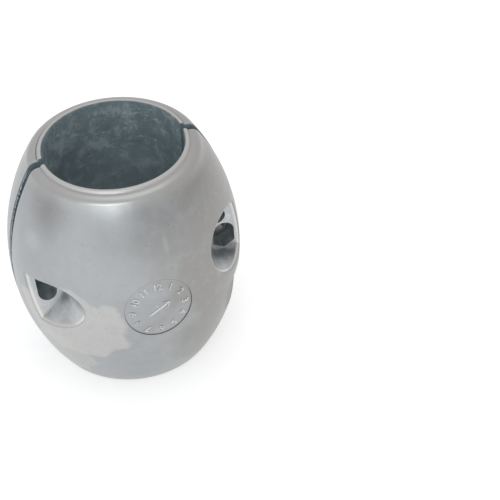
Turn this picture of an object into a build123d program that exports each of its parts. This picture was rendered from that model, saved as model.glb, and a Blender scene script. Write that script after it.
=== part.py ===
"""Split shaft anode: two cast zinc shells, clamped round a propeller shaft by two cap screws."""
from build123d import *
from math import acos, cos, hypot, radians, sin, sqrt, tan
import os

# Shaft, and the barrel that surrounds it (mm)
shaft_diameter = 70.0
anode_length = 125.0
girth_diameter = 118.0
end_ledge = 3.7
shoulder_radius = 5.1

# Thin raised collar round each end of the bore
collar_height = 1.3
collar_crest_width = 1.7
collar_foot_width = 2.5
collar_rounding = 0.5

# Seam between the two shells
seam_gap = 4.4
seam_rounding = 0.6

# Clamping screws: where they cross the seam, and the metal that they clamp
screw_wall = 11.6
screw_rise = 3.0
head_web = 4.0
nut_web = 3.8

# Cap screw and nut
screw_diameter = 6.35
screw_length = 20.0
screw_end_chamfer = 0.6
head_diameter = 9.5
head_height = 6.35
head_chamfer = 0.5
socket_across_flats = 4.8
socket_depth = 3.2
nut_across_flats = 11.1
nut_height = 5.5
nut_chamfer = 0.6
nut_corner_lean = 6.0
shank_clearance = 0.7
head_clearance = 0.2
nut_clearance = 0.3

# Slot for the screw's head, taller than the head so that the shells can be lined up
head_slot_height = 17.5

# Scooped pocket over the screw's head. Its lower side sweeps round a distant centre, and a
# tighter corner turns it level along its upper side. The floor leans back to face upward.
head_floor_depth = 20.5
head_floor_lean = 15.5
head_sweep_reach = 18.7
head_sweep_rise = 11.4
head_floor_sweep = 29.2
head_mouth_sweep = 34.8
head_floor_corner = 8.9
head_mouth_corner = 16.2
head_corner_turn = 27.0

# Scooped pocket over the nut, which rises above the nut so that a spanner reaches it
nut_floor_depth = 21.0
nut_floor_reach = 1.9
nut_floor_rise = 9.9
nut_floor_radius = 14.0
nut_mouth_reach = 10.0
nut_mouth_rise = 22.5
nut_mouth_radius = 27.0
nut_arch_rise = 3.6
pocket_rounding = 2.0

# Round blind relief beside the nut's recess, on the side toward the bore
relief_radius = 4.6
relief_inset = 3.2
relief_rise = 14.8
relief_depth = 8.0

# Shallow round disc cast into the outer face of each shell
disc_radius = 17.1
disc_rise = 3.0
disc_depth = 0.35

# Shallow dent below the nut pocket of the front shell
dent_turn = 59.5
dent_drop = 24.5
dent_depth = 4.4
dent_wide_radius = 100.0
dent_tall_radius = 20.0

mid_height = anode_length / 2
bore_radius = shaft_diameter / 2
girth_radius = girth_diameter / 2
collar_foot = mid_height - collar_height
barrel_end_radius = bore_radius + collar_foot_width + end_ledge
barrel_swell = girth_radius - barrel_end_radius
bulge_radius = (collar_foot**2 + barrel_swell**2) / (2 * barrel_swell)
shoulder_turn = acos(collar_foot / bulge_radius)
shoulder_limit = (end_ledge - collar_rounding) / tan(shoulder_turn / 2)
seam_half = seam_gap / 2
screw_offset = bore_radius + screw_wall
head_seat = seam_half + head_web
nut_seat = seam_half + nut_web
mouth_depth = girth_radius + pocket_rounding


def bulge(height):
    """Radius of the barrel at a height above or below mid-length."""
    return girth_radius - bulge_radius + sqrt(bulge_radius**2 - height**2)


def across(depth):
    """Plane across the screws at a depth in front of the seam's middle, at mid-length."""
    return Plane((0, -depth, mid_height), x_dir=(1, 0, 0), z_dir=(0, -1, 0))


def on_barrel(edge):
    """True for an edge whose middle lies on the barrel's outer surface."""
    middle = edge @ 0.5
    return abs(hypot(middle.X, middle.Y) - bulge(middle.Z - mid_height)) < 0.01


def sweep_outline(sweep_radius, corner_radius):
    """Outline of the head pocket, left of the shaft: a wide sweep below, a tight corner above."""
    cosine = cos(radians(head_corner_turn))
    sine = sin(radians(head_corner_turn))
    sweep_centre = (-screw_offset - head_sweep_reach, head_sweep_rise)
    meeting = (sweep_centre[0] + sweep_radius * cosine, sweep_centre[1] - sweep_radius * sine)
    corner_centre = (meeting[0] - corner_radius * cosine, meeting[1] + corner_radius * sine)
    side = -girth_diameter
    with BuildLine() as outline:
        CenterArc(sweep_centre, sweep_radius, -90, 90 - head_corner_turn)
        CenterArc(corner_centre, corner_radius, -head_corner_turn, 90 + head_corner_turn)
        Polyline(
            (corner_centre[0], corner_centre[1] + corner_radius),
            (side, corner_centre[1] + corner_radius),
            (side, sweep_centre[1] - sweep_radius),
            (sweep_centre[0], sweep_centre[1] - sweep_radius),
        )
    return outline.line


head_floor = across(head_floor_depth).rotated((-head_floor_lean, 0, 0))

# Shape under the disc, which follows the barrel a little deeper
with BuildPart() as disc_bed:
    with BuildSketch(across(0)):
        with BuildLine():
            bed_top = disc_rise + 2 * disc_radius
            ThreePointArc(
                (bulge(bed_top) - disc_depth, -bed_top),
                (girth_radius - disc_depth, 0),
                (bulge(bed_top) - disc_depth, bed_top),
            )
            Polyline(
                (bulge(bed_top) - disc_depth, bed_top),
                (0, bed_top),
                (0, -bed_top),
                (bulge(bed_top) - disc_depth, -bed_top),
            )
        make_face()
    revolve(axis=Axis.Z)

with BuildPart() as disc_cut:
    with BuildSketch(across(mouth_depth)):
        with Locations((0, disc_rise)):
            Circle(disc_radius)
    extrude(amount=-girth_radius)
    add(disc_bed.part, mode=Mode.SUBTRACT)

# One casting serves as both shells: head pocket on its left, nut pocket on its right
with BuildPart() as casting:
    # Barrel, shoulders and collars turned round the shaft
    with BuildSketch(across(0)) as section:
        crest = bore_radius + collar_crest_width
        foot = bore_radius + collar_foot_width
        corner = barrel_end_radius
        with BuildLine():
            ThreePointArc((corner, -collar_foot), (girth_radius, 0), (corner, collar_foot))
            Polyline((corner, collar_foot), (foot, collar_foot), (crest, mid_height), (bore_radius, mid_height))
            Line((bore_radius, mid_height), (bore_radius, -mid_height))
            Polyline((bore_radius, -mid_height), (crest, -mid_height), (foot, -collar_foot), (corner, -collar_foot))
        make_face()
        fillet(section.vertices().sort_by(Axis.X)[:-2], collar_rounding)
        fillet(section.vertices().sort_by(Axis.X)[-2:], min(shoulder_radius, shoulder_limit))
    revolve(axis=Axis.Z)

    # Front half only, with its mating face short of the middle and the edges rounded
    split(bisect_by=Plane.XZ.offset(seam_half), keep=Keep.TOP)
    mating_faces = faces().filter_by(Axis.Y).sort_by(Axis.Y)[-2:]
    fillet(mating_faces.edges(), seam_rounding)

    # Pocket over the screw's head
    with BuildSketch(head_floor):
        add(sweep_outline(head_floor_sweep, head_floor_corner))
        make_face()
    with BuildSketch(across(mouth_depth)):
        add(sweep_outline(head_mouth_sweep, head_mouth_corner))
        make_face()
    loft(mode=Mode.SUBTRACT)
    fillet(edges(Select.LAST).filter_by(on_barrel), pocket_rounding)

    # Pocket over the nut
    with BuildSketch(across(nut_floor_depth)):
        with Locations((screw_offset + nut_floor_reach, nut_floor_rise)):
            Circle(nut_floor_radius)
    with BuildSketch(across(mouth_depth)):
        with Locations((screw_offset + nut_mouth_reach, nut_mouth_rise)):
            Circle(nut_mouth_radius)
    loft(mode=Mode.SUBTRACT)
    fillet(edges(Select.LAST).filter_by(on_barrel), pocket_rounding)

    # Slot that lets the screw's head in, down to its seat
    with BuildSketch(across(head_seat)):
        with Locations((-screw_offset, screw_rise)):
            SlotOverall(head_slot_height, head_diameter + head_clearance, rotation=90)
    extrude(amount=mouth_depth - head_seat, mode=Mode.SUBTRACT)

    # Recess that holds the nut from turning: six-sided below, a corner downward, and arched above
    with BuildSketch(across(nut_seat)):
        recess_half = (nut_across_flats + nut_clearance) / 2
        with Locations((screw_offset, screw_rise)):
            RegularPolygon(recess_half, 6, major_radius=False, rotation=90)
        with Locations((screw_offset, screw_rise + nut_arch_rise / 2)):
            Rectangle(2 * recess_half, nut_arch_rise)
        with Locations((screw_offset, screw_rise + nut_arch_rise)):
            Circle(recess_half)
    extrude(amount=nut_floor_depth - nut_seat, mode=Mode.SUBTRACT)

    # Blind relief over the recess
    with BuildSketch(across(nut_floor_depth)):
        with Locations((screw_offset - relief_inset, screw_rise + relief_rise)):
            Circle(relief_radius)
    extrude(amount=-relief_depth, mode=Mode.SUBTRACT)

    # Holes for the screws' shanks
    with BuildSketch(across(0)):
        with Locations((-screw_offset, screw_rise), (screw_offset, screw_rise)):
            Circle((screw_diameter + shank_clearance) / 2)
    extrude(amount=max(head_seat, nut_seat), mode=Mode.SUBTRACT)

    add(disc_cut.part, mode=Mode.SUBTRACT)

with BuildPart() as half_front:
    add(casting.part)
    dent_place = Plane((0, 0, mid_height - dent_drop)).rotated((0, 0, dent_turn))
    reach = bulge(dent_drop) + dent_wide_radius - dent_depth
    with Locations(dent_place):
        with Locations((0, -reach, 0)):
            Torus(dent_wide_radius - dent_tall_radius, dent_tall_radius, mode=Mode.SUBTRACT)

with BuildPart() as half_back:
    add(casting.part.rotate(Axis.Z, 180))

# Socket-head cap screw, its head in the front shell and its end in the back one
with BuildPart() as cap_screw:
    with BuildSketch(across(head_seat)):
        with Locations((-screw_offset, screw_rise)):
            Circle(head_diameter / 2)
    extrude(amount=head_height)
    chamfer(edges().sort_by(Axis.Y)[0], head_chamfer)
    with BuildSketch(across(head_seat + head_height)):
        with Locations((-screw_offset, screw_rise)):
            RegularPolygon(socket_across_flats / 2, 6, major_radius=False)
    extrude(amount=-socket_depth, mode=Mode.SUBTRACT)
    with BuildSketch(across(head_seat)):
        with Locations((-screw_offset, screw_rise)):
            Circle(screw_diameter / 2)
    extrude(amount=-screw_length)
    chamfer(edges().sort_by(Axis.Y)[-1], screw_end_chamfer)

# Hexagon nut on the end of that screw, seated in the back shell
with BuildPart() as hex_nut:
    with BuildSketch(across(-nut_seat)):
        with Locations((-screw_offset, screw_rise)):
            RegularPolygon(nut_across_flats / 2, 6, major_radius=False, rotation=90)
            Circle(screw_diameter / 2, mode=Mode.SUBTRACT)
    extrude(amount=-nut_height)
    with BuildSketch(across(-nut_seat)):
        with Locations((-screw_offset, screw_rise)):
            Circle(nut_across_flats / 2 + nut_chamfer)
    extrude(amount=-nut_height, taper=nut_corner_lean, mode=Mode.INTERSECT)

os.makedirs("parts", exist_ok=True)

half_front.part.label = "half_front"
export_step(half_front.part, "parts/half_front.step")

half_back.part.label = "half_back"
export_step(half_back.part, "parts/half_back.step")

# The second screw and nut lie half a turn round the shaft from the first
for side, turn in (("left", 0), ("right", 180)):
    with BuildPart() as clamp_screw:
        add(cap_screw.part.rotate(Axis.Z, turn))
    clamp_screw.part.label = "clamp_screw_" + side
    export_step(clamp_screw.part, "parts/clamp_screw_" + side + ".step")

    with BuildPart() as clamp_nut:
        add(hex_nut.part.rotate(Axis.Z, turn))
    clamp_nut.part.label = "hex_nut_" + side
    export_step(clamp_nut.part, "parts/hex_nut_" + side + ".step")
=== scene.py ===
"""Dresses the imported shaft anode: cast zinc shells, date dials, cap screws, nuts and a pale studio."""
from math import cos, inf, pi, radians, sin, sqrt, tan, tau
from random import Random

import bmesh
import bpy
from bpy.props import FloatProperty, FloatVectorProperty, IntProperty, PointerProperty
from mathutils import Matrix, Vector


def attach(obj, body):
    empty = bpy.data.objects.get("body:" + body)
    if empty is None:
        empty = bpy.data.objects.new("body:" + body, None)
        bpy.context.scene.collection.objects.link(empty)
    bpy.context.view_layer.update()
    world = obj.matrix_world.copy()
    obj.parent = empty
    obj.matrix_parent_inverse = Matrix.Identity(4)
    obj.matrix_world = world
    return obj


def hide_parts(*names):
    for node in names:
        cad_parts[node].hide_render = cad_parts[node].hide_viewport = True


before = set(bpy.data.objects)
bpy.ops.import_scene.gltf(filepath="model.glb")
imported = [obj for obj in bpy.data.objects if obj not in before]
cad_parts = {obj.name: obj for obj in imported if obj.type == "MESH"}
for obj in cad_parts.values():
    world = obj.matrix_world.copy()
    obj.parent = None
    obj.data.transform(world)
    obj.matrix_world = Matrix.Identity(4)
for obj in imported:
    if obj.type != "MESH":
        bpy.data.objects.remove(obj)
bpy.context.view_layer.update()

bl_info = {
    "name": "Split shaft anode",
    "version": (1, 0, 0),
    "blender": (4, 5, 0),
    "location": "3D View > Sidebar > Anode",
    "description": "Finishes, dials, fasteners and studio for a zinc anode that clamps round a shaft",
    "category": "Object",
}

MM = 0.001

# Sizes of the castings that the finishes and trim follow, in millimetres
GIRTH_RADIUS = 59.0
BULGE_RADIUS = 114.109
BORE_RADIUS = 35.0
MID_HEIGHT = 62.5
SEAM_HALF = 2.2
DISC_RADIUS = 17.1
DISC_RISE = 3.0
DISC_DEPTH = 0.35
COLLAR_FOOT_RADIUS = 37.55
COLLAR_FOOT_HEIGHT = 60.6
COLLAR_HEIGHT = 61.3
SHOULDER_HEIGHT = 53.0
POCKET_END = 50.0
RECESS_MOUTH = 16.5
DENT_SIDE = 20.0
DENT_TOP = -11.0

# Sizes of the screws and nuts, in millimetres. Places along the left screw are taken from the seam's
# plane toward the front, and the nut's seat toward the back.
SCREW_OFFSET = 46.6
SCREW_RISE = 3.0
HEAD_SEAT = 6.2
HEAD_HEIGHT = 6.35
HEAD_RADIUS = 4.75
SOCKET_HALF = 2.4
SOCKET_DEPTH = 3.2
SHANK_RADIUS = 3.175
SHANK_PLAY = 0.02
THREAD_TOP = 2.0
THREAD_DEPTH = 0.68
THREAD_PLAY = 0.05
THREAD_RUNOUT = 0.6
THREAD_CREST_SHARE = 1 / 6
RINGS_PER_TURN = 8
KNURL_HALF_DEPTH = 0.09
POINTS_PER_KNURL = 4
SCREW_END = -13.8
NUT_SEAT = 6.0
NUT_HEIGHT = 5.5
NUT_HALF = 5.55
NUT_CORNER = 6.15
NUT_CORNER_TAPER = radians(6.0)
NUT_CHAMFER = 0.35
NUT_CHAMFER_SLOPE = 0.9
NUT_EDGE_STEPS = (0.0, 0.12, 0.3, 0.55, 0.9)
NUT_MOUTH_DEPTH = 0.5
NUT_MOUTH_FLARE = 0.3
NUT_POINTS = 72

# Sizes of the raised marks on the dials and of the casting fin at the seam, in millimetres. Each root of
# the fin has its inset from the barrel and its depth in the mating face.
MARK_SINK = 0.15
NUMBER_HALF_DEPTH = 0.2
NUMBER_BEVEL = 0.1
NUMBER_BOLDNESS = 0.012
BAR_WIDTH = 0.6
BAR_SPANS = 6
BAR_TOP_SHARE = 0.56
BAR_SHOULDER_SHARE = 0.55
BARB_LENGTH = 3.0
BARB_SPREAD = 2.2
CROSSBAR_HALF = 3.2
FIN_HALF_LENGTH = 56.0
FIN_INNER_ROOT = (1.1, 0.15)
FIN_OUTER_ROOT = (0.55, 0.2)
FIN_CREST_INSET = 0.85

# How the fin's edge varies: the mean and spread of its aim, as shares of its full reach, and the share of
# the way to the aim that each point goes
FIN_MEAN = 0.1
FIN_SPREAD = 0.5
FIN_QUICKNESS = 0.85

# Tints of the greys: shares of red, green and blue
PLAIN = (1.0, 1.0, 1.0)
SKIN_TINT = (0.965, 1.0, 1.035)
FLOW_AND_LIGHT_TINT = (1.02, 1.0, 0.975)
POCKET_TINT = (0.95, 1.0, 1.04)
RIM_TINT = (1.01, 1.0, 0.98)
COLLAR_TINT = (1.02, 1.0, 0.97)
FOOT_TINT = (0.8, 1.0, 1.2)
SEAM_TINT = (0.75, 1.0, 1.15)
FILM_TINT = (0.85, 1.0, 1.05)
MOUTH_TINT = (0.8, 1.0, 1.04)
MIDDLE_TINT = (0.84, 1.0, 1.03)
SCRATCH_AND_GLINT_TINT = (0.93, 1.0, 1.02)

# Marks that the metal's flow and handling left on the barrel, mixed with painted light: the wide dark
# patch over the right side is painted shade, and the pale blotch low on the left is a painted reflection.
# Each has its place round the girth and above mid-length, its two half spans, the share of them where its
# edge starts, its strength, and its level against the paler zinc.
FLOW_MARKS_AND_PAINTED_LIGHT = (
    ((85.0, 5.0), (110.0, 140.0), 0.5, 0.95, 0.72),
    ((-47.0, -8.0), (33.0, 23.0), 0.88, 0.62, 1.32),
    ((-57.0, -36.0), (19.0, 18.0), 0.9, 0.5, 1.25),
    ((-61.0, 49.0), (22.0, 15.0), 0.0, 0.5, 0.62),
    ((-69.0, 34.0), (10.0, 8.0), 0.1, 0.3, 1.3),
    ((47.0, 55.0), (17.0, 8.0), 0.05, 0.35, 0.66),
    ((8.5, 37.0), (2.0, 6.0), 0.3, 0.25, 1.3),
    ((125.0, -20.0), (34.0, 28.0), 0.94, 0.45, 1.25),
    ((160.0, 40.0), (20.0, 12.0), 0.1, 0.35, 0.75),
)

# Camera, in radians and millimetres: its turn from the front to the left, its rise and its roll, its
# distance, and its aim across and up from the anode's middle
CAMERA_TURN = radians(12.63)
CAMERA_RISE = radians(40.98)
CAMERA_ROLL = radians(-2.56)
CAMERA_DISTANCE = 12.66 * GIRTH_RADIUS
AIM_ACROSS = 1.092 * GIRTH_RADIUS
AIM_UP = -0.295 * GIRTH_RADIUS
SENSOR_WIDTH = 36.0

PAPER = (0.8, 0.8, 0.8, 1.0)
PAPER_GLOW = (0.45, 0.45, 0.45, 1.0)
BLACK = (0.0, 0.0, 0.0, 1.0)
FLOOR_DROP = 0.1


# Shader maths


class Value:
    """A shader socket that changes over a surface. Python's operators on it add Math nodes."""

    def __init__(self, nodes, socket):
        self.nodes = nodes
        self.socket = socket

    def maths(self, operation, *terms):
        """A Math node on terms that are values or numbers."""
        return self.nodes.node("ShaderNodeMath", {"operation": operation}, dict(enumerate(terms)))

    def beside(self, name):
        """Another output of the same node."""
        return Value(self.nodes, self.socket.node.outputs[name])

    def larger(self, other):
        """The larger of two values at each place."""
        return self.maths("MAXIMUM", self, other)

    def __add__(self, other):
        return self.maths("ADD", self, other)

    __radd__ = __add__

    def __sub__(self, other):
        return self.maths("SUBTRACT", self, other)

    def __rsub__(self, other):
        return self.maths("SUBTRACT", other, self)

    def __mul__(self, other):
        return self.maths("MULTIPLY", self, other)

    __rmul__ = __mul__

    def __pow__(self, power):
        return self.maths("POWER", self, power)

    def __abs__(self):
        return self.maths("ABSOLUTE", self)


class Nodes:
    """The node tree of a material or a world."""

    def __init__(self, owner):
        self.owner = owner
        owner.use_nodes = True
        self.tree = owner.node_tree
        self.tree.nodes.clear()

    def node(self, kind, settings=None, sockets=None, result=0):
        """Adds a node of a kind, its settings first. Returns the wanted output, if it has any."""
        made = self.tree.nodes.new(kind)
        for key, value in (settings or {}).items():
            setattr(made, key, value)
        for key, value in (sockets or {}).items():
            if isinstance(value, Value):
                self.tree.links.new(value.socket, made.inputs[key])
            else:
                made.inputs[key].default_value = value
        return Value(self, made.outputs[result]) if made.outputs else None

    def seen_directly(self):
        """1 for rays that show the surroundings: those of the camera, reflections and glass."""
        path = self.node("ShaderNodeLightPath", result="Is Camera Ray")
        return path.larger(path.beside("Is Glossy Ray").larger(path.beside("Is Transmission Ray")))


class Recipe(Nodes):
    """A procedural material, measured in millimetres in the row frame."""

    def __init__(self, name):
        super().__init__(bpy.data.materials.new(name))
        place = self.node("ShaderNodeTexCoord", result="Object")
        self.place = self.node(
            "ShaderNodeVectorMath", {"operation": "SCALE"}, {"Vector": place, "Scale": 1 / MM}
        )

    def axes(self):
        """The three coordinates of the place on the surface, in millimetres."""
        x = self.node("ShaderNodeSeparateXYZ", None, {0: self.place})
        return x, x.beside("Y"), x.beside("Z")

    def stretched(self, factors):
        """The place, scaled by a factor along each axis."""
        return self.node(
            "ShaderNodeVectorMath", {"operation": "MULTIPLY"}, {0: self.place, 1: factors}
        )

    def cloud(self, size, detail=3.0, roughness=0.55, warp=0.0, place=None):
        """Noise from 0 to 1 whose patches are about size millimetres across."""
        sockets = {
            "Vector": place or self.place,
            "Scale": 1 / size,
            "Detail": detail,
            "Roughness": roughness,
            "Distortion": warp,
        }
        return self.node("ShaderNodeTexNoise", None, sockets)

    def rise(self, value, low, high):
        """0 below low, 1 above high, and a smooth step between."""
        return self.node(
            "ShaderNodeMapRange",
            {"interpolation_type": "SMOOTHSTEP"},
            {"Value": value, "From Min": low, "From Max": high},
        )

    def fall(self, value, low, high):
        """1 below low, 0 above high, and a smooth step between."""
        return 1 - self.rise(value, low, high)

    def blend(self, factor, first, second):
        """Colour first where the factor is 0 and second where it is 1."""
        return self.node(
            "ShaderNodeMix", {"data_type": "RGBA"}, {0: factor, 6: first, 7: second}, result=2
        )

    def coats(self, tone, layers):
        """Greys laid over a tone in order: each has a mask of its strength, a level and a tint."""
        for mask, level, tint in layers:
            tone = self.blend(mask, tone, grey(level, tint))
        return tone

    def relief(self, layers):
        """Bumps, laid on each other: pairs of a height from 0 to 1 and its depth in millimetres."""
        normal = None
        for height, depth in layers:
            sockets = {"Height": height, "Distance": depth * MM, "Strength": 1.0}
            if normal:
                sockets["Normal"] = normal
            normal = self.node("ShaderNodeBump", None, sockets)
        return normal

    def finish(self, **sockets):
        """Gives a Principled shader its sockets, uniform or varying, and returns the material."""
        named = {socket.replace("_", " "): value for socket, value in sockets.items()}
        surface = self.node("ShaderNodeBsdfPrincipled", None, named)
        self.node("ShaderNodeOutputMaterial", None, {"Surface": surface})
        return self.owner


def opaque(colour):
    """A colour setting with its alpha."""
    return (*colour, 1.0)


def grey(level, tint=PLAIN):
    """A colour of that level with a slight tint."""
    return opaque(level * share for share in tint)


def barrel_radius(height):
    """Radius of the barrel, in millimetres, at a height above mid-length."""
    return GIRTH_RADIUS - BULGE_RADIUS + sqrt(BULGE_RADIUS**2 - height**2)


# Finishes


class ZincSkin(Recipe):
    """Satin cast zinc: smooth barrel with flow marks and painted light, dull bore and mating faces,
    bright pockets.
    """

    def __init__(self, name, look):
        super().__init__(name)
        self.look = look
        self.find_places()
        self.mark_parts()
        self.broad = self.cloud(46.0, 2.0, 0.5, 0.3)
        self.waves = self.cloud(17.0, 3.0, 0.45, 0.6)
        self.mottle = self.cloud(5.0, 4.0, 0.6, 0.3)
        self.grain = self.cloud(1.0, 3.0, 0.6)

    def find_places(self):
        """Where a point is on the casting: round it, above mid-length, and sunk below the barrel."""
        self.x, self.y, z = self.axes()
        self.height = z - MID_HEIGHT
        self.radius = (self.x * self.x + self.y * self.y) ** 0.5
        self.around = self.x.maths("ARCTAN2", self.x, self.y * -1) * GIRTH_RADIUS
        bulge = (BULGE_RADIUS**2 - self.height * self.height) ** 0.5
        self.sunk = bulge + (GIRTH_RADIUS - BULGE_RADIUS) - self.radius
        rise = self.height - DISC_RISE
        self.disc_reach = (self.x * self.x + rise * rise) ** 0.5

    def mark_parts(self):
        """Masks that are 1 on one part of the casting and 0 elsewhere."""
        end_reach = abs(self.height)
        self.in_bore = self.fall(self.radius, BORE_RADIUS + 0.1, BORE_RADIUS + 0.5)
        outside = 1 - self.in_bore
        from_middle = abs(self.y)
        self.at_seam = self.fall(from_middle, SEAM_HALF + 0.1, SEAM_HALF + 0.5)
        self.dull = self.in_bore.larger(self.at_seam)
        low_right = self.rise(self.x, DENT_SIDE, DENT_SIDE + 4.0)
        low_right = low_right * self.fall(self.height, DENT_TOP - 3.0, DENT_TOP)
        in_dent = low_right * self.fall(self.y, -2.0, 0.0)
        sides = self.fall(end_reach, POCKET_END, POCKET_END + 4.0) * (1 - in_dent)
        self.in_pocket = self.rise(self.sunk, 1.2, 3.0) * sides * outside
        self.on_rim = self.rise(self.sunk, 0.45, 0.8) * self.fall(self.sunk, 1.0, 2.6) * sides
        off_disc = self.rise(self.disc_reach, DISC_RADIUS + 1.0, DISC_RADIUS + 2.0)
        barely_sunk = self.rise(self.sunk, 0.12, 0.3) * self.fall(self.sunk, 0.36, 0.5)
        self.round_rim = barely_sunk * sides * off_disc
        near_seam = self.fall(from_middle, RECESS_MOUTH - 3.5, RECESS_MOUTH)
        self.deep = self.in_pocket * near_seam * (1 - self.at_seam)
        self.on_collar = self.rise(end_reach, COLLAR_HEIGHT, COLLAR_HEIGHT + 0.6) * outside
        shoulder_up = self.rise(end_reach, SHOULDER_HEIGHT, SHOULDER_HEIGHT + 8.0)
        self.on_shoulder = shoulder_up * (1 - self.dull)
        foot_up = self.rise(end_reach, COLLAR_FOOT_HEIGHT, COLLAR_FOOT_HEIGHT + 0.5)
        self.collar_foot = foot_up * self.fall(abs(self.radius - COLLAR_FOOT_RADIUS), 0.12, 0.5)
        self.disc_edge = self.fall(abs(self.disc_reach - DISC_RADIUS), 0.1, 0.35) * outside
        self.on_edge = self.fall(abs(from_middle - SEAM_HALF - 0.55), 0.1, 0.5) * outside

    def patch(self, centre, spans, edge, ragged):
        """1 inside an oval patch of the barrel and 0 outside, its edge made ragged by a field."""
        side = (self.around - centre[0]) * (1 / spans[0])
        rise = (self.height - centre[1]) * (1 / spans[1])
        reach = (side * side + rise * rise) ** 0.5 + ragged
        return self.fall(reach, edge, 1.0)

    def barrel_tone(self):
        """Greys of the outside: broad fields, flow marks mixed with painted shade and painted
        reflections, mottling, grain and pits.
        """
        dark, pale = self.look.dark_level, self.look.pale_level
        fields = self.rise(self.broad, 0.3, 0.7)
        tone = self.blend(fields, grey(dark, SKIN_TINT), grey(pale, SKIN_TINT))
        ragged = (self.waves - 0.5) * 0.75
        # Flow marks, with painted shade over the right side and a painted reflection low on the left
        for centre, spans, edge, strength, level in FLOW_MARKS_AND_PAINTED_LIGHT:
            flow_and_light_patch = self.patch(centre, spans, edge, ragged)
            tone = self.blend(flow_and_light_patch * strength, tone, grey(level * pale, FLOW_AND_LIGHT_TINT))
        speckle = self.cloud(0.3, 2.0, 0.6)
        pores = self.node("ShaderNodeTexVoronoi", None, {"Vector": self.place, "Scale": 1 / 5.0})
        layers = (
            (self.rise(self.mottle, 0.5, 0.72) * 0.16, pale * 1.2, PLAIN),
            (self.fall(self.mottle, 0.3, 0.5) * 0.14, dark * 0.8, PLAIN),
            (self.rise(self.grain, 0.54, 0.74) * 0.22, dark * 0.7, PLAIN),
            (self.rise(speckle, 0.66, 0.76) * 0.25, dark * 0.5, PLAIN),
            (self.fall(pores, 0.035, 0.06) * 0.7, dark * 0.2, PLAIN),
        )
        return self.coats(tone, layers)

    def pocket_tone(self, tone):
        """Smooth pockets with soft smears, the pale ones painted sheen, a painted highlight along their
        rims and a painted shade line round them.
        """
        dark, rim = self.look.dark_level, self.look.rim_level
        smear_and_sheen = self.cloud(4.5, 3.0, 0.6, 0.8, self.stretched((1.0, 0.5, 1.0)))
        layers = (
            (self.in_pocket * 0.8, self.look.pocket_level, POCKET_TINT),
            # Pale smears are painted sheen in the pockets
            (self.in_pocket * self.rise(smear_and_sheen, 0.45, 0.7) * 0.4, rim * 1.2, PLAIN),
            (self.in_pocket * self.fall(smear_and_sheen, 0.3, 0.5) * 0.2, dark * 0.8, PLAIN),
            # Painted highlight along the pockets' rounded rims
            (self.on_rim * 0.75, rim * 1.15, RIM_TINT),
            # Painted shade in a line just outside the pockets' rims
            (self.round_rim * 0.4, dark * 0.7, PLAIN),
        )
        return self.coats(tone, layers)

    def edge_tone(self, tone):
        """Painted light at the ends and seams: painted sheen on the shoulders and collars, painted
        highlights on the seam edges, painted shade at the collars' feet, and a darker line round the
        discs.
        """
        dark, pale, rim = self.look.dark_level, self.look.pale_level, self.look.rim_level
        # The painted shade at the collars' feet is stronger on the back
        on_back = self.rise(self.y, -12.0, 12.0) * 0.7 + 0.1
        layers = (
            # Painted sheen on the shoulders and on the collars' tops
            (self.on_shoulder * 0.55, pale * 1.22, COLLAR_TINT),
            (self.on_collar * 0.6, rim, COLLAR_TINT),
            # Painted shade in the crease at each collar's foot
            (self.collar_foot * on_back, dark * 0.4, FOOT_TINT),
            # Painted highlight along the rounded edges of the seam
            (self.on_edge * 0.45, rim, PLAIN),
            (self.disc_edge * 0.45, dark * 0.45, PLAIN),
        )
        return self.coats(tone, layers)

    def bore_tone(self):
        """Dull film with paler clouds, thin veins, scratches and dots with painted glints, and painted
        light: paler toward the middle, darker toward both mouths.
        """
        film = self.cloud(9.0, 7.0, 0.76, 0.4)
        sparse = self.cloud(11.0, 2.0, 0.5)
        veining = self.cloud(6.0, 1.0, 0.5, 1.4, self.stretched((1.0, 1.0, 0.9)))
        scoring = self.cloud(2.6, 3.0, 0.7, 0.4, self.stretched((0.5, 0.5, 1.6)))
        veins = self.fall(abs(veining - 0.5), 0.0, 0.02) * self.rise(sparse, 0.52, 0.62)
        scratches = self.rise(scoring, 0.59, 0.7) * self.rise(sparse, 0.42, 0.58)
        # Dots that are painted glints
        glint_dots = self.rise(self.cloud(0.9, 2.0, 0.6), 0.64, 0.7) * self.rise(sparse, 0.35, 0.6)
        marks = (veins * 0.6).larger(scratches.larger(glint_dots) * 0.8)
        inward = self.fall(abs(self.height), 6.0, 42.0)
        level = self.look.bore_colour[1]
        cloudy = self.rise(film, 0.47, 0.64) * 0.9
        tone = self.blend(cloudy, opaque(self.look.bore_colour), opaque(self.look.wisp_colour))
        layers = (
            (self.fall(film, 0.3, 0.46) * 0.55, level * 0.6, FILM_TINT),
            # Painted light deep in the bore, and painted shade toward both mouths
            (inward * 0.55, self.look.rim_level, MIDDLE_TINT),
            ((1 - inward) * 0.3, level * 0.5, MOUTH_TINT),
            # Veins and scratches of paler metal with painted glints on them, and the painted glint dots
            (marks, self.look.rim_level, SCRATCH_AND_GLINT_TINT),
        )
        return self.coats(tone, layers)

    def dressed(self):
        """The whole skin as a material."""
        tone = self.edge_tone(self.pocket_tone(self.barrel_tone()))
        tone = self.blend(self.dull, tone, self.bore_tone())
        # Painted shade on the mating faces in the gap between the shells
        tone = self.blend(self.at_seam * 0.45, tone, grey(self.look.dark_level * 0.3, SEAM_TINT))
        tone = self.blend(self.deep * 0.85, tone, opaque(self.look.recess_colour))
        rough = (
            (self.waves - 0.5) * 0.1
            + (self.broad - 0.5) * 0.08
            + self.look.roughness
            - self.in_pocket * 0.04
            - self.on_rim * 0.1
            + self.on_collar * 0.14
            + self.dull * 0.12
            + self.deep * 0.2
        )
        metal = 0.92 - self.dull * 0.77 - self.deep * 0.5 - self.in_pocket * 0.16
        relief = self.relief(
            [(self.broad, 0.6), (self.waves, 0.1), (self.mottle, 0.035), (self.grain, 0.014)]
        )
        return self.finish(Base_Color=tone, Roughness=rough, Metallic=metal, Normal=relief)


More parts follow.
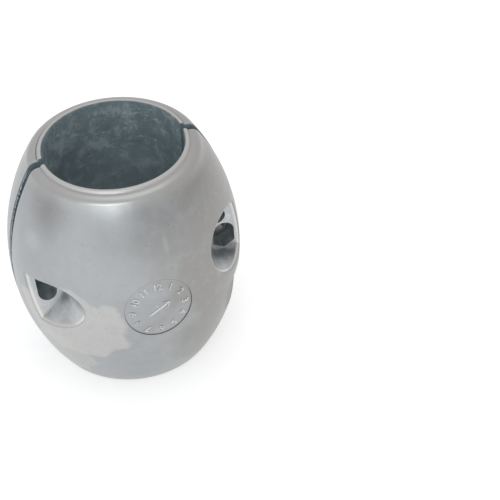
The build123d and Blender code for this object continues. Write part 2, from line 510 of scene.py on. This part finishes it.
def raised_zinc(name, look):
    """Zinc on the dials' raised marks and the casting fin, worn brighter in patches."""
    skin = Recipe(name)
    patches = skin.cloud(3.0, 4.0, 0.6)
    grain = skin.cloud(0.5, 3.0, 0.6)
    tone = skin.blend(skin.rise(patches, 0.35, 0.7), grey(look.pale_level), grey(look.rim_level))
    rough = look.roughness - 0.05 + (patches - 0.5) * 0.25
    relief = skin.relief([(patches, 0.08), (grain, 0.015)])
    return skin.finish(Base_Color=tone, Roughness=rough, Metallic=1.0, Normal=relief)


def fastener_steel(name, look):
    """Dull stainless steel with fine turning marks and patches of grey zinc dust."""
    steel = Recipe(name)
    dust = steel.cloud(2.4, 5.0, 0.65, 0.5)
    turning = steel.cloud(0.35, 2.0, 0.5, 0.0, steel.stretched((0.2, 3.0, 0.2)))
    dusty = steel.rise(dust, 0.4, 0.66) * 0.7
    tone = steel.blend(dusty, opaque(look.steel_colour), opaque(look.dust_colour))
    tone = steel.blend(steel.rise(turning, 0.5, 0.8) * 0.3, tone, grey(0.5))
    relief = steel.relief([(turning, 0.01), (dust, 0.03)])
    return steel.finish(Base_Color=tone, Roughness=0.34 + dust * 0.3, Metallic=1.0, Normal=relief)


def floor_paper(name):
    """Pale matt paper that looks white and keeps a shadow."""
    paper = Recipe(name)
    glow = paper.blend(paper.seen_directly(), BLACK, PAPER_GLOW)
    return paper.finish(
        Base_Color=PAPER,
        Roughness=0.9,
        Specular_IOR_Level=0.0,
        Emission_Strength=1.0,
        Emission_Color=glow,
    )


# Mesh work


def mesh_piece(name, mesh, material, *replaced):
    """A piece of the anode from a bmesh, riding on the one body, in place of any solids named."""
    data = bpy.data.meshes.new(name)
    mesh.to_mesh(data)
    mesh.free()
    piece = bpy.data.objects.new(name, data)
    bpy.context.scene.collection.objects.link(piece)
    data.materials.append(material)
    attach(piece, "root")
    if replaced:
        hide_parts(*replaced)
    return piece


def smooth_by_angle(data, angle):
    """Smooth faces, with edges sharper than the angle left crisp."""
    data.shade_smooth()
    data.set_sharp_from_angle(angle=angle)


def bridge(mesh, first, second):
    """A band of faces between two loops of as many points."""
    for i in range(len(first)):
        j = (i + 1) % len(first)
        mesh.faces.new((first[i], first[j], second[j], second[i]))


def even_steps(start, end, spacing):
    """Even steps of about that spacing from start to end."""
    count = max(2, round((end - start) / spacing))
    return [start + (end - start) * i / count for i in range(count + 1)]


def on_bed(across, up, lift):
    """Place on the front shell's disc, in metres: across and up from its centre, lifted off its bed."""
    height = DISC_RISE + up
    around = barrel_radius(height) - DISC_DEPTH + lift
    return Vector((across, -sqrt(around**2 - across**2), MID_HEIGHT + height)) * MM


def bar_rib(mesh, start, end, lift):
    """A straight raised bar with softened edges on the disc, between two (across, up) points."""
    side = (end - start).orthogonal().normalized() * (BAR_WIDTH / 2)
    profile = (
        (-1.0, -MARK_SINK),
        (-1.0, lift * BAR_SHOULDER_SHARE),
        (-BAR_TOP_SHARE, lift),
        (BAR_TOP_SHARE, lift),
        (1.0, lift * BAR_SHOULDER_SHARE),
        (1.0, -MARK_SINK),
    )
    rings = []
    for i in range(BAR_SPANS + 1):
        middle = start.lerp(end, i / BAR_SPANS)
        ring = []
        for share, rise in profile:
            point = middle + side * share
            ring.append(mesh.verts.new(on_bed(point.x, point.y, rise)))
        rings.append(ring)
    for first, second in zip(rings, rings[1:]):
        bridge(mesh, first, second)
    mesh.faces.new(list(reversed(rings[0])))
    mesh.faces.new(rings[-1])


def figure_mesh(text, size):
    """A number as a bevelled mesh in millimetres, centred on its own middle."""
    curve = bpy.data.curves.new("figure_" + text, "FONT")
    curve.body = text
    curve.size = size
    curve.align_x = "CENTER"
    curve.align_y = "CENTER"
    curve.resolution_u = 3
    curve.offset = size * NUMBER_BOLDNESS
    curve.extrude = NUMBER_HALF_DEPTH
    curve.bevel_depth = NUMBER_BEVEL
    curve.bevel_resolution = 1
    carrier = bpy.data.objects.new("figure_" + text, curve)
    bpy.context.scene.collection.objects.link(carrier)
    bpy.context.view_layer.update()
    data = bpy.data.meshes.new_from_object(carrier)
    bpy.data.objects.remove(carrier)
    bpy.data.curves.remove(curve)
    return data


def hexagon(half, corner=inf):
    """Radius of a hexagon of that half width at an angle, with its corners turned off."""
    return lambda angle: min(half / cos((angle % (pi / 3)) - pi / 6), corner)


def knurl(count):
    """Radius of the screw's head where its fine grooves run."""
    return lambda angle: HEAD_RADIUS - KNURL_HALF_DEPTH * (1 - cos(count * angle))


def thread(depth, pitch, crest):
    """Radius of a right-hand thread at a depth: a flat crest, and straight flanks to a sharp root."""
    half_crest = THREAD_CREST_SHARE / 2

    def radius(angle):
        from_crest = abs((depth / pitch - angle / tau) % 1.0 - 0.5)
        cut = max(0.0, (from_crest - half_crest) / (0.5 - half_crest))
        return crest - THREAD_DEPTH * cut

    return radius


def thread_rings(start, end, pitch, crest):
    """Rings of a thread between two depths, several to a turn."""
    depths = even_steps(start, end, pitch / RINGS_PER_TURN)
    return [(depth, thread(depth, pitch, crest)) for depth in depths]


def turned(rings, count, closed):
    """A mesh through rings along the left screw's axis: each a depth and its radius at an angle."""
    mesh = bmesh.new()
    loops = []
    for depth, radius in rings:
        loop = []
        for i in range(count):
            angle = tau * i / count
            reach = radius(angle) if callable(radius) else radius
            across = -SCREW_OFFSET + reach * cos(angle)
            up = MID_HEIGHT + SCREW_RISE + reach * sin(angle)
            loop.append(mesh.verts.new(Vector((across, -depth, up)) * MM))
        loops.append(loop)
    for first, second in zip(loops, loops[1:]):
        bridge(mesh, first, second)
    if closed:
        bridge(mesh, loops[-1], loops[0])
    else:
        mesh.faces.new(loops[0])
        mesh.faces.new(loops[-1])
    bmesh.ops.recalc_face_normals(mesh, faces=mesh.faces)
    return mesh


# Settings


class AnodeShells(bpy.types.PropertyGroup):
    """Finish of the two zinc shells."""

    pale_level: FloatProperty(
        name="Pale level",
        description="Brightness of the cleaner zinc",
        default=0.41,
        min=0,
        max=1,
        subtype="FACTOR",
    )
    dark_level: FloatProperty(
        name="Dark level",
        description="Brightness of the duller zinc",
        default=0.375,
        min=0,
        max=1,
        subtype="FACTOR",
    )
    # This level also colours the painted highlights on the pocket rims and seam edges, the painted sheen
    # on the collars and the painted light in the bore's middle, besides worn patches and paler scratches
    rim_level: FloatProperty(
        name="Rim level",
        description="Brightness of rubbed edges",
        default=0.6,
        min=0,
        max=1,
        subtype="FACTOR",
    )
    pocket_level: FloatProperty(
        name="Pocket level",
        description="Brightness of the smooth pockets",
        default=0.52,
        min=0,
        max=1,
        subtype="FACTOR",
    )
    bore_colour: FloatVectorProperty(
        name="Bore",
        description="Dull film in the bore and on the mating faces",
        default=(0.23, 0.3, 0.33),
        min=0,
        max=1,
        subtype="COLOR",
    )
    wisp_colour: FloatVectorProperty(
        name="Wisps",
        description="Paler clouds in the bore",
        default=(0.46, 0.55, 0.59),
        min=0,
        max=1,
        subtype="COLOR",
    )
    recess_colour: FloatVectorProperty(
        name="Recesses",
        description="Film at the bottom of the screw slots and nut recesses",
        default=(0.34, 0.42, 0.42),
        min=0,
        max=1,
        subtype="COLOR",
    )
    roughness: FloatProperty(
        name="Roughness",
        description="Mean roughness of the cast skin",
        default=0.36,
        min=0,
        max=1,
        subtype="FACTOR",
    )


class AnodeFlash(bpy.types.PropertyGroup):
    """Sizes, in millimetres, of the casting fin at the seam."""

    reach: FloatProperty(
        name="Reach", description="How far the fin reaches into the gap", default=1.1, min=0, max=1.5
    )
    spacing: FloatProperty(
        name="Spacing", description="Distance between the fin's teeth", default=0.4, min=0.2, max=3
    )
    seed: IntProperty(name="Seed", description="Start of the random draws", default=11, min=1)


class AnodeDials(bpy.types.PropertyGroup):
    """Sizes, in millimetres, of the casting-date dials."""

    lift: FloatProperty(
        name="Lift", description="Height of the marks above the disc", default=0.3, min=0.05, max=0.6
    )
    number_size: FloatProperty(
        name="Number size", description="Type size of the numbers", default=5.0, min=1, max=7
    )
    number_ring: FloatProperty(
        name="Number ring", description="Radius of the circle of numbers", default=13.2, min=6, max=15
    )
    pointer_reach: FloatProperty(
        name="Pointer reach", description="Half the pointer's length", default=6.4, min=4, max=9
    )
    pointer_turn: FloatProperty(
        name="Pointer turn",
        description="Turn of the pointer from the 12",
        default=radians(60),
        subtype="ANGLE",
    )


class AnodeFasteners(bpy.types.PropertyGroup):
    """Finish and sizes of the cap screws and nuts."""

    steel_colour: FloatVectorProperty(
        name="Steel",
        description="Bare stainless steel",
        default=(0.3, 0.31, 0.31),
        min=0,
        max=1,
        subtype="COLOR",
    )
    dust_colour: FloatVectorProperty(
        name="Dust",
        description="Zinc dust on the steel",
        default=(0.16, 0.18, 0.18),
        min=0,
        max=1,
        subtype="COLOR",
    )
    knurls: IntProperty(
        name="Knurls", description="Grooves round each screw's head", default=36, min=12, max=72
    )
    thread_pitch: FloatProperty(
        name="Thread pitch",
        description="Pitch of the screws' thread, in millimetres",
        default=1.27,
        min=0.5,
        max=2,
    )


class AnodeStage(bpy.types.PropertyGroup):
    """Floor, lamps and camera."""

    floor_span: FloatProperty(
        name="Floor", description="Width of the floor", default=6.0, min=1, unit="LENGTH"
    )
    key_power: FloatProperty(
        name="Key lamp",
        description="Power of the low lamp in front",
        default=1.8,
        min=0,
        unit="POWER",
    )
    fill_power: FloatProperty(
        name="Fill lamp",
        description="Power of the lamp on the left",
        default=0.8,
        min=0,
        unit="POWER",
    )
    top_power: FloatProperty(
        name="Top lamp", description="Power of the lamp above", default=1.5, min=0, unit="POWER"
    )
    sky: FloatProperty(name="Sky", description="Light from all round", default=0.9, min=0)
    focal_length: FloatProperty(
        name="Focal length", description="Camera's focal length", default=104.36, min=10, unit="CAMERA"
    )


# Pieces


class ANODE_OT_shells(bpy.types.Operator):
    """Gives both cast shells their zinc skin"""

    bl_idname = "anode.shells"
    bl_label = "Cast shells"

    def execute(self, context):
        skin = ZincSkin("cast_zinc_skin", context.scene.anode_shells).dressed()
        for name in ("half_front", "half_back"):
            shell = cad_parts[name]
            shell.data.materials.clear()
            shell.data.materials.append(skin)
        return {"FINISHED"}


class ANODE_OT_flash(bpy.types.Operator):
    """Leaves a ragged casting fin along both edges of the back shell's mating faces"""

    bl_idname = "anode.flash"
    bl_label = "Casting flash"

    def execute(self, context):
        sizes = context.scene.anode_flash
        finish = raised_zinc("flash_zinc", context.scene.anode_shells)
        for side, way in (("left", -1), ("right", 1)):
            mesh = bmesh.new()
            self.draw_fin(mesh, way, sizes, Random(sizes.seed + way))
            bmesh.ops.recalc_face_normals(mesh, faces=mesh.faces)
            fin = mesh_piece("casting_flash_" + side, mesh, finish)
            smooth_by_angle(fin.data, radians(30))
        return {"FINISHED"}

    def draw_fin(self, mesh, way, sizes, draws):
        """A thin fin whose edge reaches a varying way into the gap."""
        reach = 0.0
        rings = []
        for height in even_steps(-FIN_HALF_LENGTH, FIN_HALF_LENGTH, sizes.spacing):
            aim = sizes.reach * max(0.0, draws.gauss(FIN_MEAN, FIN_SPREAD))
            reach += (min(aim, sizes.reach) - reach) * FIN_QUICKNESS
            ring = []
            for inset, depth in (FIN_INNER_ROOT, (FIN_CREST_INSET, -reach), FIN_OUTER_ROOT):
                around = barrel_radius(height) - inset
                beyond = SEAM_HALF + depth
                across = way * sqrt(around**2 - beyond**2)
                ring.append(mesh.verts.new(Vector((across, beyond, MID_HEIGHT + height)) * MM))
            rings.append(ring)
        for first, second in zip(rings, rings[1:]):
            bridge(mesh, first, second)
        mesh.faces.new(rings[0])
        mesh.faces.new(rings[-1])


class ANODE_OT_dials(bpy.types.Operator):
    """Raises a plain casting-date dial on each shell's disc"""

    bl_idname = "anode.dials"
    bl_label = "Date dials"

    def execute(self, context):
        sizes = context.scene.anode_dials
        finish = raised_zinc("dial_zinc", context.scene.anode_shells)
        for side, turn in (("front", 0.0), ("back", pi)):
            mesh = bmesh.new()
            self.draw_dial(mesh, sizes)
            bmesh.ops.recalc_face_normals(mesh, faces=mesh.faces)
            bmesh.ops.rotate(mesh, verts=mesh.verts, matrix=Matrix.Rotation(turn, 3, "Z"))
            dial = mesh_piece("date_dial_" + side, mesh, finish)
            smooth_by_angle(dial.data, radians(40))
        return {"FINISHED"}

    def draw_dial(self, mesh, sizes):
        """The twelve month numbers in a ring, round a pointer with a crossbar."""
        for month in range(1, 13):
            self.add_number(mesh, str(month), tau * month / 12, sizes)
        way = Vector((sin(sizes.pointer_turn), cos(sizes.pointer_turn)))
        side = Vector((way.y, -way.x))
        tip = way * sizes.pointer_reach
        barb = way * (sizes.pointer_reach - BARB_LENGTH)
        for start, end in (
            (-tip, tip),
            (barb + side * BARB_SPREAD, tip),
            (barb - side * BARB_SPREAD, tip),
            (side * -CROSSBAR_HALF, side * CROSSBAR_HALF),
        ):
            bar_rib(mesh, start, end, sizes.lift)

    def add_number(self, mesh, text, angle, sizes):
        """Wraps one number on the disc, its top outward and its back sunk into the bed."""
        data = figure_mesh(text, sizes.number_size)
        turn = Matrix.Rotation(-angle, 2)
        centre = Vector((sin(angle), cos(angle))) * sizes.number_ring
        top = max(vert.co.z for vert in data.vertices)
        for vert in data.vertices:
            flat = turn @ vert.co.xy + centre
            lift = max(vert.co.z / top * sizes.lift, -MARK_SINK)
            vert.co = on_bed(flat.x, flat.y, lift)
        mesh.from_mesh(data)
        bpy.data.meshes.remove(data)


class ANODE_OT_fasteners(bpy.types.Operator):
    """Cuts the knurls, sockets and threads of both cap screws and nuts"""

    bl_idname = "anode.fasteners"
    bl_label = "Cap screws and nuts"

    def execute(self, context):
        sizes = context.scene.anode_fasteners
        steel = fastener_steel("fastener_steel_skin", sizes)
        for side, turn in (("left", 0.0), ("right", pi)):
            screw = turned(self.screw_rings(sizes), POINTS_PER_KNURL * sizes.knurls, False)
            nut = turned(self.nut_rings(sizes), NUT_POINTS, True)
            for name, mesh in (("clamp_screw_", screw), ("hex_nut_", nut)):
                bmesh.ops.rotate(mesh, verts=mesh.verts, matrix=Matrix.Rotation(turn, 3, "Z"))
                piece = mesh_piece("dressed_" + name + side, mesh, steel, name + side)
                smooth_by_angle(piece.data, radians(32))
        return {"FINISHED"}

    def screw_rings(self, sizes):
        """Rings of a socket-head cap screw, from the end of its thread to the bottom of its socket."""
        shank = SHANK_RADIUS - SHANK_PLAY
        top = HEAD_SEAT + HEAD_HEIGHT
        floor = top - SOCKET_DEPTH
        point = [(SCREW_END, SHANK_RADIUS - 0.7), (SCREW_END + 0.02, SHANK_RADIUS - 0.66)]
        start = SCREW_END + THREAD_RUNOUT
        threaded = thread_rings(start, THREAD_TOP, sizes.thread_pitch, SHANK_RADIUS)
        head = [
            (THREAD_TOP + THREAD_RUNOUT, shank),
            (HEAD_SEAT, shank),
            (HEAD_SEAT, HEAD_RADIUS - 0.3),
            (HEAD_SEAT + 0.3, HEAD_RADIUS - 0.02),
            (HEAD_SEAT + 0.6, HEAD_RADIUS),
            (HEAD_SEAT + 0.8, knurl(sizes.knurls)),
            (top - 1.1, knurl(sizes.knurls)),
            (top - 0.9, HEAD_RADIUS),
            (top - 0.55, HEAD_RADIUS - 0.01),
            (top - 0.12, HEAD_RADIUS - 0.42),
            (top, HEAD_RADIUS - 0.6),
        ]
        socket = [
            (top, hexagon(SOCKET_HALF + 0.16)),
            (top - 0.18, hexagon(SOCKET_HALF)),
            (floor, hexagon(SOCKET_HALF)),
            (floor - 0.05, 2.1),
            (floor - 0.9, 0.05),
        ]
        return point + threaded + head + socket

    def nut_rings(self, sizes):
        """Rings of a hexagon nut on the far end of that screw, round the outside and back inside."""
        far_steps = [NUT_HEIGHT - drop for drop in reversed(NUT_EDGE_STEPS)]
        outer = []
        for drop in (*NUT_EDGE_STEPS, NUT_HEIGHT / 2, *far_steps):
            from_face = min(drop, NUT_HEIGHT - drop)
            chamfer = max(0.0, NUT_CHAMFER - from_face) * NUT_CHAMFER_SLOPE
            corner = NUT_CORNER - drop * tan(NUT_CORNER_TAPER) - chamfer
            outer.append((-NUT_SEAT - drop, hexagon(NUT_HALF, corner)))
        far_face = -NUT_SEAT - NUT_HEIGHT
        mouth = SHANK_RADIUS + NUT_MOUTH_FLARE
        start, end = far_face + NUT_MOUTH_DEPTH, -NUT_SEAT - NUT_MOUTH_DEPTH
        inner = thread_rings(start, end, sizes.thread_pitch, SHANK_RADIUS + THREAD_PLAY)
        return outer + [(far_face, mouth)] + inner + [(-NUT_SEAT, mouth)]


class ANODE_OT_stage(bpy.types.Operator):
    """Sets the floor, the soft lamps, the white surroundings and the camera"""

    bl_idname = "anode.stage"
    bl_label = "Studio"

    def execute(self, context):
        stage = context.scene.anode_stage
        self.lay_floor(stage)
        self.fill_world(stage)
        self.hang_lamps(stage)
        self.set_camera(stage)
        context.scene.view_settings.view_transform = "Standard"
        return {"FINISHED"}

    def lay_floor(self, stage):
        """A wide paper floor just under the anode."""
        mesh = bmesh.new()
        bmesh.ops.create_grid(mesh, x_segments=8, y_segments=8, size=stage.floor_span / 2)
        data = bpy.data.meshes.new("floor")
        mesh.to_mesh(data)
        mesh.free()
        data.materials.append(floor_paper("floor_paper"))
        floor = bpy.data.objects.new("floor", data)
        floor.location.z = -FLOOR_DROP * MM
        bpy.context.scene.collection.objects.link(floor)

    def fill_world(self, stage):
        """White surroundings, dimmer as a source of light."""
        world = Nodes(bpy.data.worlds.new("studio"))
        strength = world.seen_directly().larger(stage.sky)
        background = world.node("ShaderNodeBackground", None, {"Strength": strength})
        world.node("ShaderNodeOutputWorld", None, {"Surface": background})
        bpy.context.scene.world = world.owner

    def hang_lamps(self, stage):
        """A wide low lamp in front, which draws the highlight under the rim, and two softer ones.

        Each has its width and height, its place in metres and its colour.
        """
        for name, power, spans, place, colour in (
            ("key", stage.key_power, (0.62, 0.18), (-0.41, -0.8, 0.62), (0.94, 0.98, 1.0)),
            ("fill", stage.fill_power, (0.8, 0.8), (-1.0, -0.5, 0.25), (0.9, 0.96, 1.0)),
            ("top", stage.top_power, (0.9, 0.9), (0.15, 0.1, 1.3), (1.0, 1.0, 1.0)),
        ):
            data = bpy.data.lights.new(name, "AREA")
            data.shape = "RECTANGLE"
            data.energy = power
            data.size, data.size_y = spans
            data.color = colour
            lamp = bpy.data.objects.new(name, data)
            lamp.location = place
            aim = Vector((0, 0, MID_HEIGHT * MM)) - lamp.location
            lamp.rotation_euler = aim.to_track_quat("-Z", "Y").to_euler()
            bpy.context.scene.collection.objects.link(lamp)

    def set_camera(self, stage):
        """Camera where the photographer stood: above the anode and a little to the left."""
        middle = Vector((0, 0, MID_HEIGHT))
        level_way = Vector((sin(CAMERA_TURN), cos(CAMERA_TURN), 0))
        away = Vector((0, 0, sin(CAMERA_RISE))) - level_way * cos(CAMERA_RISE)
        eye = middle + away * CAMERA_DISTANCE
        across = Vector((level_way.y, -level_way.x, 0))
        aim = middle + across * AIM_ACROSS + Vector((0, 0, AIM_UP))
        forward = (aim - eye).normalized()
        level = forward.cross(Vector((0, 0, 1))).normalized()
        upright = level.cross(forward)
        right = cos(CAMERA_ROLL) * level + sin(CAMERA_ROLL) * upright
        up = cos(CAMERA_ROLL) * upright - sin(CAMERA_ROLL) * level
        data = bpy.data.cameras.new("camera")
        data.sensor_width = SENSOR_WIDTH
        data.lens = stage.focal_length
        camera = bpy.data.objects.new("camera", data)
        turn = Matrix((right, up, -forward)).transposed().to_4x4()
        camera.matrix_world = Matrix.Translation(eye * MM) @ turn
        bpy.context.scene.collection.objects.link(camera)
        bpy.context.scene.camera = camera


class ANODE_PT_panel(bpy.types.Panel):
    """Lists the anode's pieces and settings"""

    bl_label = "Shaft anode"
    bl_idname = "ANODE_PT_panel"
    bl_space_type = "VIEW_3D"
    bl_region_type = "UI"
    bl_category = "Anode"

    def draw(self, context):
        for operator, settings in STEPS:
            box = self.layout.box()
            box.operator(operator)
            group = getattr(context.scene, settings)
            for key in group.__annotations__:
                box.prop(group, key)


STEPS = (
    ("anode.shells", "anode_shells"),
    ("anode.flash", "anode_flash"),
    ("anode.dials", "anode_dials"),
    ("anode.fasteners", "anode_fasteners"),
    ("anode.stage", "anode_stage"),
)
SETTINGS = (
    ("anode_shells", AnodeShells),
    ("anode_flash", AnodeFlash),
    ("anode_dials", AnodeDials),
    ("anode_fasteners", AnodeFasteners),
    ("anode_stage", AnodeStage),
)
CLASSES = (
    AnodeShells,
    AnodeFlash,
    AnodeDials,
    AnodeFasteners,
    AnodeStage,
    ANODE_OT_shells,
    ANODE_OT_flash,
    ANODE_OT_dials,
    ANODE_OT_fasteners,
    ANODE_OT_stage,
    ANODE_PT_panel,
)


def register():
    for kind in CLASSES:
        bpy.utils.register_class(kind)
    for name, kind in SETTINGS:
        setattr(bpy.types.Scene, name, PointerProperty(type=kind))


def unregister():
    for name, kind in SETTINGS:
        delattr(bpy.types.Scene, name)
    for kind in reversed(CLASSES):
        bpy.utils.unregister_class(kind)


def main():
    register()
    bpy.ops.anode.shells()
    bpy.ops.anode.flash()
    bpy.ops.anode.dials()
    bpy.ops.anode.fasteners()
    bpy.ops.anode.stage()
    bpy.context.view_layer.update()


if __name__ == "__main__":
    main()
